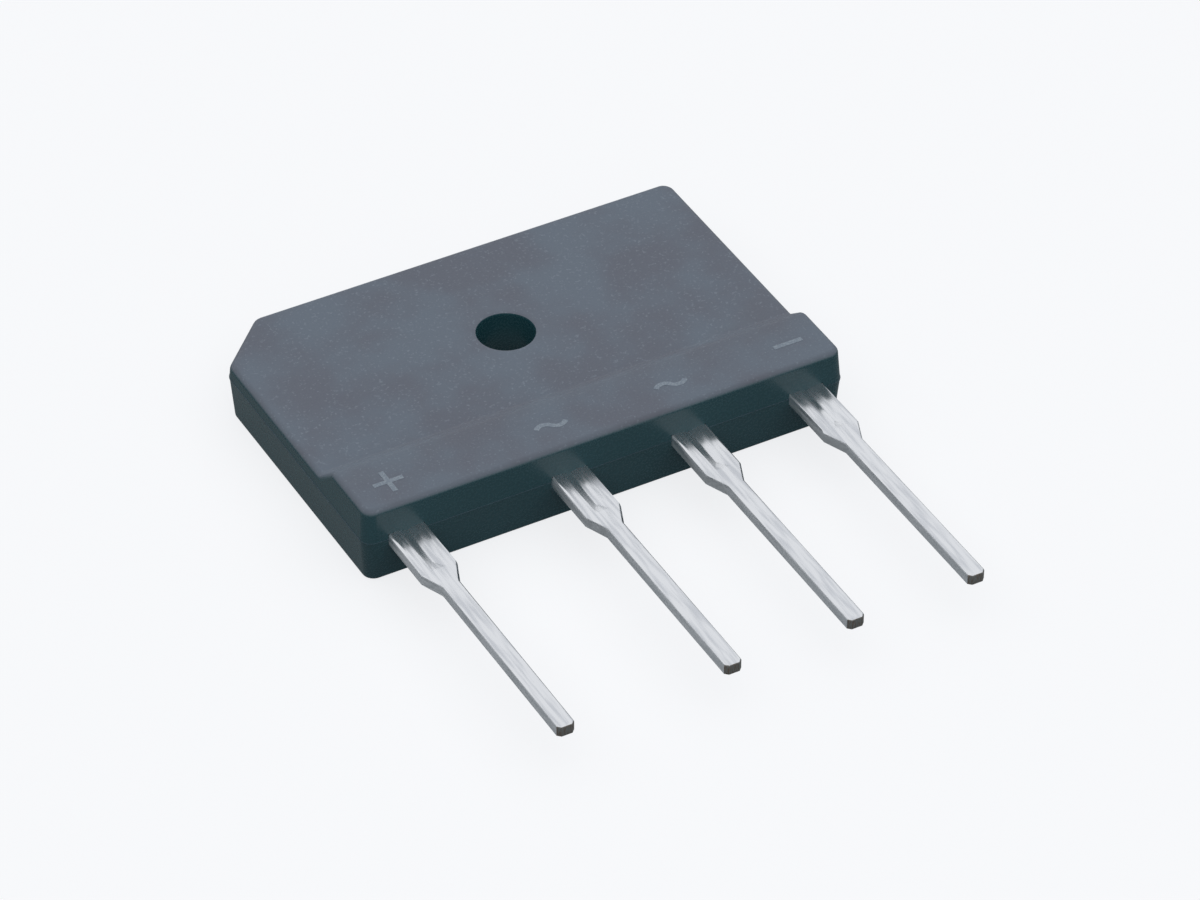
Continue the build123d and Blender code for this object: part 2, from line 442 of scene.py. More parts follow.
def blended(
    tree: Tree, value: Socket, between: Range, first: Colour, second: Colour, most: float = 1.0
) -> Socket:
    """Blends one colour into another as a value rises.

    Args:
        tree: The material's tree.
        value: The value's socket.
        between: The values at which the blend starts and is full.
        first: The first colour, as a hex colour or a socket.
        second: The second colour, as a hex colour or a socket.
        most: The share of the second colour where the blend is full.

    Returns:
        The blended colour's socket.
    """
    share = following(tree, value, between, (0.0, most))
    colours = [linear(colour) if isinstance(colour, str) else colour for colour in (first, second)]
    inputs = dict(zip(MIX_COLOUR_INPUTS, (share, *colours)))
    return add_node(tree, "ShaderNodeMix", inputs, data_type="RGBA").outputs[MIX_COLOUR_RESULT]


def bumped(tree: Tree, layers: list[tuple[Socket, float]], strength: Number = 1.0) -> Socket:
    """A surface normal with several layers of relief.

    Args:
        tree: The material's tree.
        layers: For each layer its height's socket and its depth in metres.
        strength: How much of the relief there is.

    Returns:
        The normal's socket.
    """
    normal = None
    for height, depth in layers:
        inputs = {"Height": height, "Distance": depth, "Strength": strength}
        if normal is not None:
            inputs["Normal"] = normal
        normal = add_node(tree, "ShaderNodeBump", inputs).outputs["Normal"]
    return normal


def surface(tree: Tree, **inputs: object) -> None:
    """Gives a material its shader and output.

    Args:
        tree: The material's tree.
        inputs: The shader's inputs, with their spaces as underscores.
    """
    named = {name.replace("_", " "): value for name, value in inputs.items()}
    shader = add_node(tree, "ShaderNodeBsdfPrincipled", named)
    add_node(tree, "ShaderNodeOutputMaterial", {"Surface": shader.outputs["BSDF"]})


# Finishes


# A field that ends in _between holds the two values of a pattern, or of facing_up,
# between which the finish changes. One that ends in _change holds how far a pattern
# takes the roughness down and up.


@dataclass(frozen=True)
class MouldedEpoxy:
    """Black epoxy moulding compound, transfer moulded in a spark-eroded steel mould.

    To the eye it is a blue-grey with a fine even satin grain on the faces that look up
    and down, which scatters light. The mould's side walls have a mirror finish along the
    draw, so the upright sides are glossier and take soft reflections of the bright leads.
    Their darker teal base colour is painted shade.
    """

    base: str = "#58626E"
    mottle: str = "#535863"
    mottle_size: float = 4.5 * MM
    mottle_between: Range = (0.35, 0.66)
    filler: str = "#7F8994"
    filler_size: float = 0.16 * MM
    filler_between: Range = (0.58, 0.72)
    filler_share: float = 0.35
    # The upright walls' darker teal is painted shade, blended in as faces turn upright
    wall_painted_shade: str = "#264B52"
    wall_shade_between: Range = (0.2, 0.75)
    eroded_between: Range = (0.3, 0.99)
    face_roughness: float = 0.55
    wall_roughness: float = 0.26
    roughness_change: Range = (-0.05, 0.05)
    ior: float = 1.52
    specular: float = 0.5
    grain: float = 0.12 * MM
    grain_depth: float = 0.008 * MM
    ripple: float = 0.45 * MM
    ripple_depth: float = 0.006 * MM
    wall_relief: float = 0.35

    def material(self) -> Material:
        """Makes the finish as a node material.

        Returns:
            The material.
        """
        material, tree = new_material("epoxy_compound_spark_eroded")
        clouds = pattern(tree, self.mottle_size, detail=3.0)
        compound = blended(tree, clouds, self.mottle_between, self.base, self.mottle)
        specks = pattern(tree, self.filler_size)
        satin = blended(tree, specks, self.filler_between, compound, self.filler, self.filler_share)
        level = facing_up(tree)
        grain = pattern(tree, self.grain)
        roughness = following(tree, level, self.eroded_between, (self.wall_roughness, self.face_roughness))
        relief = [(pattern(tree, self.ripple), self.ripple_depth), (grain, self.grain_depth)]
        strength = following(tree, level, self.eroded_between, (self.wall_relief, 1.0))
        surface(
            tree,
            # Upright walls get the painted shade colour in place of the compound's own
            Base_Color=blended(tree, level, self.wall_shade_between, self.wall_painted_shade, satin),
            Roughness=following(tree, grain, PATTERN_CORE, self.roughness_change, roughness),
            IOR=self.ior,
            Specular_IOR_Level=self.specular,
            Normal=bumped(tree, relief, strength),
        )
        return material


@dataclass(frozen=True)
class LaserMark:
    """Epoxy whose skin a laser has burnt to a pale grey.

    To the eye it is a matt mark, a little lighter than the compound, with a dusty edge.
    """

    burnt: str = "#747E89"
    dust: str = "#8A939C"
    dust_size: float = 0.09 * MM
    dust_between: Range = (0.4, 0.65)
    dust_depth: float = 0.005 * MM
    roughness: float = 0.8
    roughness_change: Range = (-0.1, 0.1)

    def material(self) -> Material:
        """Makes the finish as a node material.

        Returns:
            The material.
        """
        material, tree = new_material("epoxy_compound_laser_burnt")
        dust = pattern(tree, self.dust_size)
        surface(
            tree,
            Base_Color=blended(tree, dust, self.dust_between, self.burnt, self.dust),
            Roughness=following(tree, dust, PATTERN_CORE, self.roughness_change, self.roughness),
            Normal=bumped(tree, [(dust, self.dust_depth)]),
        )
        return material


@dataclass(frozen=True)
class TinPlate:
    """Matt tin electroplated over rolled copper sheet.

    To the eye it is a bright, slightly cold white metal. The rolled sheet's fine lines run
    along the leads, and the plate's grain makes long narrow patches duller. The sides that
    the punch cut are rougher under the plate, and so they look greyer. Their base colour is
    a little lighter than the flat faces', which is painted light.
    """

    bright: str = "#DCDEE1"
    dull: str = "#C6C9CE"
    dull_between: Range = (0.4, 0.68)
    # The lighter colour on the walls that the punch cut is painted light
    wall_painted_light: str = "#E4E6E9"
    plate_between: Range = (0.2, 0.8)
    roughness: float = 0.24
    punched_roughness: float = 0.5
    roughness_between: Range = (0.35, 0.65)
    roughness_change: Range = (-0.07, 0.07)
    line_width: float = 0.07 * MM
    line_length: float = 2.6 * MM
    line_depth: float = 0.0012 * MM
    patch_width: float = 0.22 * MM
    patch_length: float = 3.0 * MM
    patch_depth: float = 0.0012 * MM

    def material(self) -> Material:
        """Makes the finish as a node material.

        Returns:
            The material.
        """
        material, tree = new_material("tin_plated_rolled_copper")
        lines = pattern(tree, (self.line_width, self.line_length, self.line_width), detail=3.0)
        patches = pattern(tree, (self.patch_width, self.patch_length, self.patch_width), detail=3.0)
        rolled = blended(tree, patches, self.dull_between, self.bright, self.dull)
        level = facing_up(tree)
        flat_share = following(tree, level, self.plate_between, SHARE)
        roughness = following(tree, flat_share, SHARE, (self.punched_roughness, self.roughness))
        surface(
            tree,
            # Walls take the lighter colour, which is painted light
            Base_Color=blended(tree, level, self.plate_between, self.wall_painted_light, rolled),
            Metallic=1.0,
            Roughness=following(tree, patches, self.roughness_between, self.roughness_change, roughness),
            Normal=bumped(tree, [(patches, self.patch_depth), (lines, self.line_depth)]),
        )
        return material


@dataclass(frozen=True)
class ShearedEdge:
    """Copper sheet bared where a press has sheared the lead off its carrier strip.

    To the eye it is a darker, rougher metal with lines across the sheet, brownish grey
    where the tin is smeared over the copper.
    """

    smear: str = "#8E8F8C"
    copper: str = "#7C7067"
    bare_between: Range = (0.42, 0.62)
    roughness: float = 0.4
    roughness_change: Range = (-0.1, 0.1)
    line_width: float = 0.06 * MM
    line_length: float = 0.5 * MM
    line_depth: float = 0.004 * MM

    def material(self) -> Material:
        """Makes the finish as a node material.

        Returns:
            The material.
        """
        material, tree = new_material("copper_sheet_sheared")
        lines = pattern(tree, (self.line_width, self.line_width, self.line_length), detail=3.0)
        surface(
            tree,
            Base_Color=blended(tree, lines, self.bare_between, self.smear, self.copper),
            Metallic=1.0,
            Roughness=following(tree, lines, PATTERN_CORE, self.roughness_change, self.roughness),
            Normal=bumped(tree, [(lines, self.line_depth)]),
        )
        return material


@dataclass(frozen=True)
class LappedSilicon:
    """Silicon dice, lapped and then sawn.

    To the eye they are a dark mirror grey with faint slanting lap lines.
    """

    base: str = "#4B5058"
    line: str = "#666C75"
    line_between: Range = (0.45, 0.6)
    metallic: float = 0.6
    roughness: float = 0.2
    roughness_change: Range = (-0.05, 0.1)
    line_width: float = 0.03 * MM
    line_length: float = 1.5 * MM
    line_turn: float = math.radians(45.0)
    line_depth: float = 0.001 * MM

    def material(self) -> Material:
        """Makes the finish as a node material.

        Returns:
            The material.
        """
        material, tree = new_material("silicon_lapped_and_sawn")
        lines = pattern(tree, (self.line_width, self.line_length, self.line_width), turn=self.line_turn)
        surface(
            tree,
            Base_Color=blended(tree, lines, self.line_between, self.base, self.line),
            Metallic=self.metallic,
            Roughness=following(tree, lines, PATTERN_CORE, self.roughness_change, self.roughness),
            Normal=bumped(tree, [(lines, self.line_depth)]),
        )
        return material


@dataclass(frozen=True)
class ReflowedSolder:
    """Soft solder, melted and set between two plates.

    To the eye it is a dull silver with a frosted, cloudy grain.
    """

    bright: str = "#B9BBBD"
    frost: str = "#94979B"
    frost_between: Range = (0.4, 0.62)
    roughness: float = 0.4
    roughness_change: Range = (-0.1, 0.12)
    grain: float = 0.2 * MM
    grain_depth: float = 0.01 * MM

    def material(self) -> Material:
        """Makes the finish as a node material.

        Returns:
            The material.
        """
        material, tree = new_material("solder_reflowed")
        grain = pattern(tree, self.grain, detail=4.0)
        surface(
            tree,
            Base_Color=blended(tree, grain, self.frost_between, self.bright, self.frost),
            Metallic=1.0,
            Roughness=following(tree, grain, PATTERN_CORE, self.roughness_change, self.roughness),
            Normal=bumped(tree, [(grain, self.grain_depth)]),
        )
        return material


@dataclass(frozen=True)
class RolledCopper:
    """Bare copper strip, rolled and bent into clips.

    To the eye it is a warm red metal with rolling lines and browner oxide clouds.
    """

    bright: str = "#D08A63"
    oxide: str = "#A5664A"
    oxide_size: float = 1.2 * MM
    oxide_between: Range = (0.4, 0.66)
    roughness: float = 0.3
    roughness_change: Range = (-0.06, 0.12)
    line_width: float = 0.05 * MM
    line_length: float = 2.0 * MM
    line_depth: float = 0.002 * MM

    def material(self) -> Material:
        """Makes the finish as a node material.

        Returns:
            The material.
        """
        material, tree = new_material("copper_strip_rolled")
        lines = pattern(tree, (self.line_width, self.line_length, self.line_width))
        clouds = pattern(tree, self.oxide_size, detail=4.0)
        surface(
            tree,
            Base_Color=blended(tree, clouds, self.oxide_between, self.bright, self.oxide),
            Metallic=1.0,
            Roughness=following(tree, clouds, PATTERN_CORE, self.roughness_change, self.roughness),
            Normal=bumped(tree, [(lines, self.line_depth)]),
        )
        return material


# The moulded body and its marks


@dataclass
class MouldedBody:
    """The housing: a thin panel with a screw hole, and a thicker band over the leads."""

    # Its box, with the band's top as the highest, the panel's top and the parting line
    low: Vector
    high: Vector
    panel_height: float
    parting_height: float
    hole_radius: float
    finish: MouldedEpoxy
    # The band's flat top, the slope behind it, and the radius that blends it into both
    band_width: float = 4.2 * MM
    slope_run: float = 1.5 * MM
    slope_blend: float = 0.6 * MM
    # What the cut corner takes of each side, and the radius of the upright corners
    corner_cut: float = 3.2 * MM
    corner_radius: float = 0.7 * MM
    # The rounds over the walls and round the heat-sink face, and the hole's bevel
    top_rim: float = 0.35 * MM
    back_rim: float = 0.15 * MM
    hole_mouth: float = 0.2 * MM
    # How far the walls lean in, away from the parting line
    draft: float = math.radians(4.0)
    # The line of flash: its height on the wall, and how far it stands out
    flash_width: float = 0.07 * MM
    flash_height: float = 0.025 * MM
    # Facets round the hole and a square corner, and across other rounds and the bevel
    hole_sides: int = 72
    corner_segments: int = 8
    round_segments: int = 5
    mouth_segments: int = 2

    @property
    def crest(self) -> float:
        """Where the band's flat top ends, along Y."""
        return self.low.y + self.band_width

    @property
    def foot(self) -> float:
        """Where the slope meets the panel, along Y."""
        return self.crest + self.slope_run

    def build(self, held: list[Piece]) -> Piece:
        """Models the body round the pieces that it holds.

        Args:
            held: Merged copies of those pieces, which are used up.

        Returns:
            The body's piece.
        """
        centre = (self.low + self.high) / 2
        deselect_all()
        bpy.ops.mesh.primitive_cube_add(size=1, location=centre, scale=self.high - self.low)
        shell = bpy.context.active_object
        bpy.ops.object.transform_apply(location=True, rotation=True, scale=True)
        with editing(shell):
            self._cut_plan(shell)
            self._step_down(shell)
            self._draw_in(shell)
            self._round_edges(shell)
            self._raise_flash(shell)
        self._bore(shell)
        subtract(shell, held)
        finish_piece(shell, "moulded_body")
        return shell

    def _cut_plan(self, shell: Piece) -> None:
        """Cuts off the corner over the positive lead, and rounds the upright edges.

        Args:
            shell: The shell, in edit mode.
        """
        select(shell, Pick.EDGES, both_ends(lambda co: near(co.x, self.low.x) and near(co.y, self.high.y)))
        round_selected(self.corner_cut)
        for turn, segments in ((CUT_TURN, self.round_segments), (SQUARE_TURN, self.corner_segments)):
            select(shell, Pick.EDGES, lambda edge: apart(edge, "z") > TOUCH and turns_by(edge, turn))
            round_selected(tangent_length(self.corner_radius, turn), segments)

    def _step_down(self, shell: Piece) -> None:
        """Lowers the panel behind the band, down a slope.

        Args:
            shell: The shell, in edit mode.
        """
        split_at((0, self.crest, 0), ALONG_Y)
        split_at((0, self.foot, 0), ALONG_Y)
        behind = self.foot - TOUCH
        select(shell, Pick.VERTICES, lambda vertex: near(vertex.co.z, self.high.z) and vertex.co.y > behind)
        bpy.ops.transform.translate(value=(0, 0, self.panel_height - self.high.z))
        split_at((0, 0, self.parting_height), UPWARDS)

    def _draw_in(self, shell: Piece) -> None:
        """Tapers both mould halves away from the parting line.

        Args:
            shell: The shell, in edit mode.
        """
        middle = (self.low + self.high) / 2
        levels = [
            (self.high.z, self.crest, self.crest - self.low.y),
            (self.panel_height, self.foot, self.high.y - self.foot),
            (self.low.z, middle.y, self.high.y - middle.y),
        ]
        half_length = self.high.x - middle.x
        for height, fixed_y, reach in levels:
            inset = abs(height - self.parting_height) * math.tan(self.draft)
            shares = (1 - inset / half_length, 1 - inset / reach, 1)
            select(shell, Pick.VERTICES, lambda vertex: near(vertex.co.z, height))
            bpy.ops.transform.resize(value=shares, center_override=(middle.x, fixed_y, height))
        merge_flat()

    def _round_edges(self, shell: Piece) -> None:
        """Blends the slope into the band and panel, and rounds both rims.

        Args:
            shell: The shell, in edit mode.
        """
        over = self.parting_height + TOUCH
        bend = both_ends(lambda co: co.z > over and (near(co.y, self.crest) or near(co.y, self.foot)))
        select(shell, Pick.EDGES, lambda edge: bend(edge) and apart(edge, "y") < TOUCH)
        turn = math.atan2(self.high.z - self.panel_height, self.slope_run)
        round_selected(tangent_length(self.slope_blend, turn), self.round_segments)
        for side, radius in ((1, self.top_rim), (-1, self.back_rim)):
            select(shell, Pick.EDGES, lambda edge: self._is_rim(edge, side))
            round_selected(radius, self.round_segments)

    def _is_rim(self, edge: Edge, side: int) -> bool:
        """Whether an edge joins a wall to what looks up (side 1) or down (side -1)."""
        rises = sorted(face.normal.z * side for face in edge.link_faces)
        return rises[0] < DRAFTED_RISE < rises[-1]

    def _raise_flash(self, shell: Piece) -> None:
        """Raises the thin line of flash where the mould halves met.

        Args:
            shell: The shell, in edit mode.
        """
        reach = self.flash_width / 2
        for edge_height in (self.parting_height - reach, self.parting_height + reach):
            split_at((0, 0, edge_height), UPWARDS)
        middle = self.parting_height
        select(shell, Pick.FACES, lambda face: abs(face.calc_center_median().z - middle) < reach)
        bpy.ops.mesh.extrude_region_shrink_fatten(TRANSFORM_OT_shrink_fatten={"value": self.flash_height})

    def _bore(self, shell: Piece) -> None:
        """Bores the screw hole and bevels its mouth.

        Args:
            shell: The shell, in object mode.
        """
        deselect_all()
        bpy.ops.mesh.primitive_cylinder_add(
            vertices=self.hole_sides, radius=self.hole_radius, depth=2 * self.panel_height
        )
        subtract(shell, [bpy.context.active_object])
        bore = self.hole_radius + TOUCH
        mouth = both_ends(lambda co: near(co.z, self.panel_height) and co.xy.length < bore)
        with editing(shell):
            select(shell, Pick.EDGES, mouth)
            round_selected(self.hole_mouth, self.mouth_segments)

    def dress(self, body: Piece) -> None:
        """Gives the body its finish and seats it."""
        give_finish(body, self.finish.material())
        seat(body, Slot.EPOXY, "body")


@dataclass
class PolarityMark:
    """One sign on the band, over the lead that it names."""

    sign: Sign
    name: str
    centre: Vector
    finish: Material
    width: float = 1.8 * MM
    stroke: float = 0.3 * MM
    # How far it stands out of the band, and reaches into it
    proud: float = 0.012 * MM
    sunk: float = 0.02 * MM
    # The short bar that a wave grows from, half the turn of each arc, and its steps
    wave_stub: float = 0.075 * MM
    wave_half_turn: float = math.radians(50.0)
    wave_steps: int = 10

    def build(self) -> Piece:
        """Models the sign on the band's face.

        Returns:
            The sign's piece.
        """
        shapes = {Sign.PLUS: self._plus, Sign.WAVE: self._wave, Sign.MINUS: self._minus}
        piece = shapes[self.sign]()
        with editing(piece):
            bpy.ops.mesh.select_all(action="SELECT")
            bpy.ops.mesh.remove_doubles(threshold=MERGE)
            bpy.ops.mesh.normals_make_consistent(inside=False)
        finish_piece(piece, self.name)
        return piece

    def _block(self, length: float) -> Piece:
        """A flat block at the centre, as thick as the mark and as wide as its stroke.

        Args:
            length: How long it is, along X.

        Returns:
            The block's piece.
        """
        deselect_all()
        middle = self.centre + Vector((0, 0, (self.proud - self.sunk) / 2))
        size = (length, self.stroke, self.proud + self.sunk)
        bpy.ops.mesh.primitive_cube_add(size=1, location=middle, scale=size)
        bpy.ops.object.transform_apply(location=True, rotation=True, scale=True)
        return bpy.context.active_object

    def _minus(self) -> Piece:
        """A bar."""
        return self._block(self.width)

    def _plus(self) -> Piece:
        """A cross, whose four arms grow out of the block in its middle.

        Returns:
            The cross's piece.
        """
        piece = self._block(self.stroke)
        arm = (self.width - self.stroke) / 2

        def is_on_block(face: Face) -> bool:
            """Whether a face is one of the block's own."""
            return (face.calc_center_median() - self.centre).length < self.stroke

        with editing(piece):
            for x, y in ((1, 0), (-1, 0), (0, 1), (0, -1)):
                direction = Vector((x, y, 0))
                select(piece, Pick.FACES, lambda face: looks_along(face, direction) and is_on_block(face))
                bpy.ops.mesh.extrude_region_move(TRANSFORM_OT_translate={"value": direction * arm})
        return piece

    def _wave(self) -> Piece:
        """A wave of one arc over and one arc under the middle line.

        Returns:
            The wave's piece.
        """
        half = self.wave_half_turn
        arc_width = self.width / 2
        radius = arc_width / (2 * math.sin(half))
        piece = self._block(self.wave_stub)
        start = self.centre - Vector((arc_width, 0, 0))
        tangent = Vector((math.cos(half), math.sin(half), 0))
        with editing(piece):
            bpy.ops.mesh.select_all(action="SELECT")
            bpy.ops.transform.translate(value=start - self.centre)
            bpy.ops.transform.rotate(value=-half, orient_axis="Z", center_override=start)
            select(piece, Pick.FACES, lambda face: looks_along(face, tangent))
            for side in (-1, 1):
                pivot = self.centre + Vector((side * arc_width / 2, side * radius * math.cos(half), 0))
                turn = -side * 2 * half
                bpy.ops.mesh.spin(steps=self.wave_steps, angle=turn, center=pivot, axis=UPWARDS)
        return piece

    def dress(self, piece: Piece) -> None:
        """Gives the sign its finish and seats it."""
        give_finish(piece, self.finish)
        seat(piece, Slot.EPOXY)


# Leads and inner pieces


@dataclass
class StampedLead:
    """One lead, stamped out of sheet together with its frame inside the body."""

    node: str
    source: Piece
    front: float
    plate: Material
    sheared: Material
    # The wide root, from the body outwards
    root_length: float = 3.8 * MM
    # The pressed groove: how far it reaches into the body, how far its outer end slopes
    # up, how far its folds are rounded, how much the normals of its sloped faces rise,
    # and a depth between its own and the sheet's
    groove_lock: float = 0.6 * MM
    groove_run_out: float = 0.8 * MM
    groove_blend: float = 0.05 * MM
    groove_rise: Range = (0.8, LEVEL_RISE)
    pressed_depth: float = 0.3 * MM
    # The radius of the edges that the punch rolled over, and where they begin inside
    die_roll: float = 0.16 * MM
    rounded_from: float = 0.1 * MM
    # How much of the tip has lost its tin, and the rise that its bare faces stay under
    tip_bared: float = 0.25 * MM
    bared_rise: float = 0.5
    # Facets across a rolled edge and a fold of the groove
    roll_segments: int = 3
    blend_segments: int = 2
    sharp_turn: float = math.radians(30.0)

    @property
    def front_height(self) -> float:
        """The height of the lead's front face."""
        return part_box(self.node)[1].z

    def build(self) -> Piece:
        """Models the lead from a merged copy of its node.

        Returns:
            The lead's piece.
        """
        name = f"stamped_{self.node}"
        piece = merged_copy(self.source, name)
        with editing(piece):
            self._slope_groove_end(piece)
            self._blend_groove(piece)
            split_at((0, self.front + self.rounded_from, 0), ALONG_Y)
            self._roll_front_edges(piece)
        finish_piece(piece, name, self.sharp_turn)
        return piece

    def _slope_groove_end(self, piece: Piece) -> None:
        """Slopes the outer end of the pressed groove up to the front face.

        Args:
            piece: The lead, in edit mode.
        """
        end = self.front - self.root_length
        low, high = self.front_height - self.pressed_depth, self.front_height - TOUCH
        select(piece, Pick.VERTICES, lambda vertex: near(vertex.co.y, end) and low < vertex.co.z < high)
        bpy.ops.transform.translate(value=(0, self.groove_run_out, 0))

    def _blend_groove(self, piece: Piece) -> None:
        """Rounds the rails and the valley of the pressed groove.

        Args:
            piece: The lead, in edit mode.
        """
        start = self.front + self.groove_lock + TOUCH
        in_groove = both_ends(lambda co: co.y < start)
        least, most = self.groove_rise

        def is_fold(edge: Edge) -> bool:
            """Whether an edge borders one of the groove's sloped faces."""
            rises = sorted(face.normal.z for face in edge.link_faces)
            return len(rises) == 2 and least < rises[0] < most and in_groove(edge)

        select(piece, Pick.EDGES, is_fold)
        round_selected(self.groove_blend, self.blend_segments)

    def _roll_front_edges(self, piece: Piece) -> None:
        """Rounds the front edges that the punch has rolled over.

        Args:
            piece: The lead, in edit mode.
        """
        inside = self.front + self.rounded_from + TOUCH
        outside = both_ends(lambda co: co.y < inside)
        pressed = self.front_height - self.pressed_depth

        def is_outline(edge: Edge) -> bool:
            """Whether an edge is one that the punch has rolled over.

            Args:
                edge: An edge of the lead.

            Returns:
                Whether it joins the front face to a wall as deep as the sheet, outside.
            """
            if len(edge.link_faces) != 2 or not outside(edge):
                return False
            wall, face = sorted(edge.link_faces, key=lambda linked: linked.normal.z)
            is_deep = min(vertex.co.z for vertex in wall.verts) < pressed
            return abs(wall.normal.z) < WALL_RISE and face.normal.z > LEVEL_RISE and is_deep

        select(piece, Pick.EDGES, is_outline)
        round_selected(self.die_roll, self.roll_segments)

    def dress(self, piece: Piece) -> None:
        """Gives the lead its plate, bares the metal at its sheared tip, and seats it.

        Args:
            piece: The piece that build returned.
        """
        give_finish(piece, self.plate, self.sheared)
        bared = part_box(self.node)[0].y + self.tip_bared

        def was_sheared(face: Face) -> bool:
            """Whether a face stands at the lead's tip."""
            return abs(face.normal.z) < self.bared_rise and face.calc_center_median().y < bared

        with editing(piece):
            select(piece, Pick.FACES, was_sheared)
            piece.active_material_index = piece.data.materials.find(self.sheared.name)
            bpy.ops.object.material_slot_assign()
        seat(piece, Slot.TIN, self.node)


def dress_nodes(nodes: dict[str, Piece], finishes: dict[str, Material]) -> None:
    """Gives CAD nodes that stay as they are their finishes.

    Args:
        nodes: The frame's nodes by name.
        finishes: A finish for each start of a node's name.
    """
    for name, node in nodes.items():
        for start, finish in finishes.items():
            if name.startswith(start):
                give_finish(node, finish)
                log.info("%s: %s", name, finish.name)


# The studio


@dataclass(frozen=True)
class Softbox:
    """A square soft lamp that looks at the part."""

    name: str
    place: Point
    size: float
    # How bright its face looks, with 1 as white
    shine: float

    def hang(self, aim: Point) -> None:
        """Hangs the lamp, which no gloss mirrors.

        Args:
            aim: The point that it looks at.
        """
        data = bpy.data.lights.new(self.name, "AREA")
        data.shape = "SQUARE"
        data.size = self.size
        data.energy = self.shine * math.pi * self.size ** 2
        lamp = bpy.data.objects.new(self.name, data)
        towards = Vector(aim) - Vector(self.place)
        lamp.visible_glossy = False
        lamp.location = self.place
        lamp.rotation_euler = towards.to_track_quat("-Z", "Y").to_euler()
        bpy.context.scene.collection.objects.link(lamp)


@dataclass(frozen=True)
class Studio:
    """A pale floor, a white backdrop, soft lamps and the camera."""

    # The point that all look at, and where the camera stands, round from the leads' side
    aim: Point = (0.47 * MM, -10.07 * MM, 2.0 * MM)
    azimuth: float = math.radians(-29.05)
    elevation: float = math.radians(39.26)
    roll: float = math.radians(0.145)
    distance: float = 306.9 * MM
    # Its focal length and sensor in millimetres, and how near to it things still show
    lens: float = 167.1
    sensor: float = 36.0
    nearest: float = 10 * MM
    # The floor, how far it lies under the part, and its colours seen and in reflections
    floor_size: float = 6.0
    floor_drop: float = 0.02 * MM
    card_seen: str = "#F4F5F7"
    card_mirrored: str = "#48565B"
    # The white behind the part, how much of the floor is that and takes no shadow, and
    # how much of what the camera sees of the floor reflections show
    backdrop: str = "#FCFDFF"
    floor_white_share: float = 0.8
    floor_gloss_share: float = 0.14
    # The light from all round
    ambient_colour: str = "#DDE6F2"
    ambient: float = 0.16
    lamps: tuple[Softbox, ...] = (
        Softbox("overhead_softbox", place=(0.0, 0.0, 0.7), size=2.0, shine=1.0),
        Softbox("front_fill", place=(-0.25, -0.6, 0.35), size=0.35, shine=0.9),
    )

    def build(self) -> None:
        """Makes the camera, the floor, the world and the lamps."""
        self._camera()
        self._floor()
        self._world()
        for lamp in self.lamps:
            lamp.hang(self.aim)
        bpy.context.scene.view_settings.view_transform = "Standard"

    def _camera(self) -> None:
        """Puts the camera where the photograph was taken from."""
        across = math.cos(self.elevation)
        back = Vector((
            math.sin(self.azimuth) * across,
            -math.cos(self.azimuth) * across,
            math.sin(self.elevation),
        ))
        data = bpy.data.cameras.new("camera")
        data.lens = self.lens
        data.sensor_width = self.sensor
        data.clip_start = self.nearest
        camera = bpy.data.objects.new("camera", data)
        bpy.context.scene.collection.objects.link(camera)
        turned = back.to_track_quat("Z", "Y").to_matrix() @ Matrix.Rotation(self.roll, 3, "Z")
        camera.matrix_world = Matrix.Translation(Vector(self.aim) + back * self.distance) @ turned.to_4x4()
        bpy.context.scene.camera = camera

    def _seen(self, tree: Tree, gloss_share: float) -> Socket:
        """1 for rays from the camera or a clear body, and 0 for light on the object.

        Args:
            tree: The tree of the floor or the world.
            gloss_share: The value for rays from a gloss.

        Returns:
            The value's socket.
        """
        path = add_node(tree, "ShaderNodeLightPath").outputs
        mirrored = {0: path["Is Glossy Ray"], 1: gloss_share}
        gloss = add_node(tree, "ShaderNodeMath", mirrored, operation="MULTIPLY").outputs["Value"]
        seen = path["Is Camera Ray"]
        for kind in (path["Is Transmission Ray"], gloss):
            seen = add_node(tree, "ShaderNodeMath", {0: seen, 1: kind}, operation="MAXIMUM").outputs["Value"]
        return seen

    def _floor(self) -> None:
        """Lays a floor that shows white and keeps the part's shadow.

        It is clear from below, and to the soft light that the part gets from all round.
        """
        deselect_all()
        bpy.ops.mesh.primitive_plane_add(size=self.floor_size, location=(0, 0, -self.floor_drop))
        floor = bpy.context.active_object
        floor.name = "floor"
        material, tree = new_material("floor_card")
        seen = self._seen(tree, self.floor_gloss_share)
        inputs = dict(zip(MIX_COLOUR_INPUTS, (seen, linear(self.card_mirrored), linear(self.card_seen))))
        colour = add_node(tree, "ShaderNodeMix", inputs, data_type="RGBA").outputs[MIX_COLOUR_RESULT]
        card = add_node(tree, "ShaderNodeBsdfDiffuse", {"Color": colour})
        white = add_node(tree, "ShaderNodeEmission", {"Color": linear(self.backdrop), "Strength": 1.0})
        share = add_node(tree, "ShaderNodeMath", {0: seen, 1: self.floor_white_share}, operation="MULTIPLY")
        mixed = add_node(
            tree, "ShaderNodeMixShader",
            {0: share.outputs["Value"], 1: card.outputs["BSDF"], 2: white.outputs["Emission"]},
        )
        under = add_node(tree, "ShaderNodeNewGeometry").outputs["Backfacing"]
        soft = add_node(tree, "ShaderNodeLightPath").outputs["Is Diffuse Ray"]
        through = add_node(tree, "ShaderNodeMath", {0: under, 1: soft}, operation="MAXIMUM")
        clear = add_node(tree, "ShaderNodeBsdfTransparent")
        shown = add_node(
            tree, "ShaderNodeMixShader",
            {0: through.outputs["Value"], 1: mixed.outputs["Shader"], 2: clear.outputs["BSDF"]},
        )
        add_node(tree, "ShaderNodeOutputMaterial", {"Surface": shown.outputs["Shader"]})
        give_finish(floor, material)

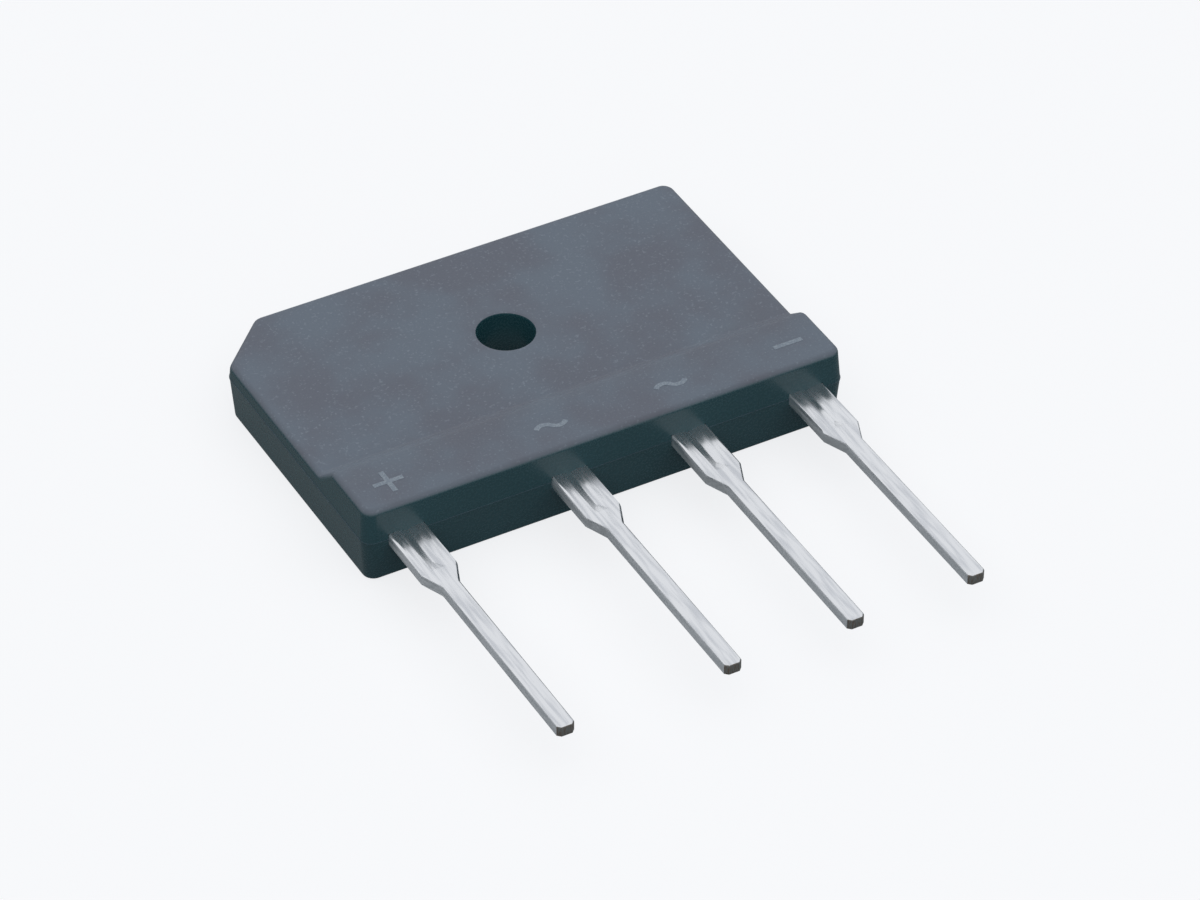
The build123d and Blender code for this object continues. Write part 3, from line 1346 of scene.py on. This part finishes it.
    def _world(self) -> None:
        """Lights the part from all round, and shows a white backdrop."""
        world = bpy.data.worlds.new("studio")
        world.use_nodes = True
        tree = world.node_tree
        tree.nodes.clear()
        ambient = {"Color": linear(self.ambient_colour), "Strength": self.ambient}
        light = add_node(tree, "ShaderNodeBackground", ambient).outputs["Background"]
        backdrop = {"Color": linear(self.backdrop), "Strength": 1.0}
        white = add_node(tree, "ShaderNodeBackground", backdrop).outputs["Background"]
        mixed = add_node(tree, "ShaderNodeMixShader", {0: self._seen(tree, 1.0), 1: light, 2: white})
        add_node(tree, "ShaderNodeOutputWorld", {"Surface": mixed.outputs["Shader"]})
        bpy.context.scene.world = world


# The whole part


SIGNS = {
    "lead_positive": Sign.PLUS,
    "lead_ac_1": Sign.WAVE,
    "lead_ac_2": Sign.WAVE,
    "lead_negative": Sign.MINUS,
}
# How far behind the lead edge the signs stand, and how much of a pin is measured
SIGN_INSET = 2.1 * MM
PIN_REACH = 5 * MM


def pin_line(lead: Piece) -> float:
    """Where the middle of a lead's pin lies along X.

    Args:
        lead: The lead's node.

    Returns:
        That place, from the sides of the pin at its tip.
    """
    places = [vertex.co for vertex in lead.data.vertices]
    tip = min(place.y for place in places)
    pin = [place.x for place in places if place.y < tip + PIN_REACH]
    return (min(pin) + max(pin)) / 2


def mount(record: dict, name: str) -> dict:
    """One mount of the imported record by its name."""
    return next(found for found in record["mounts"] if found["name"] == name)


def main() -> None:
    """Builds and dresses the rectifier, and sets up its studio."""
    logging.basicConfig(level=logging.INFO, format="%(message)s")
    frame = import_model()
    nodes = frame["nodes"]
    record = frame["record"]
    deselect_all()

    low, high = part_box("body")
    panel_height = mount(record, "screw_seat")["pos_m"][2]
    parting_height = mount(record, "lead_row")["pos_m"][2]
    hole_radius = mount(record, "mounting_hole")["dims"]["r_mm"] * MM
    body = MouldedBody(low, high, panel_height, parting_height, hole_radius, MouldedEpoxy())
    held = [merged_copy(node, f"held_{name}") for name, node in nodes.items() if name != "body"]
    body.dress(body.build(held))

    plate, sheared, burnt = TinPlate().material(), ShearedEdge().material(), LaserMark().material()
    for name, sign in SIGNS.items():
        lead = StampedLead(name, nodes[name], low.y, plate, sheared)
        lead.dress(lead.build())
        centre = Vector((pin_line(nodes[name]), low.y + SIGN_INSET, high.z))
        mark = PolarityMark(sign, f"sign_over_{name}", centre, burnt)
        mark.dress(mark.build())

    solder, copper = ReflowedSolder().material(), RolledCopper().material()
    dress_nodes(nodes, {
        "diode_die": LappedSilicon().material(),
        "die_solder": solder,
        "clip_solder": solder,
        "landing_solder": solder,
        "clip_ac": copper,
        "clip_negative": copper,
    })
    Studio().build()


if __name__ == "__main__":
    main()
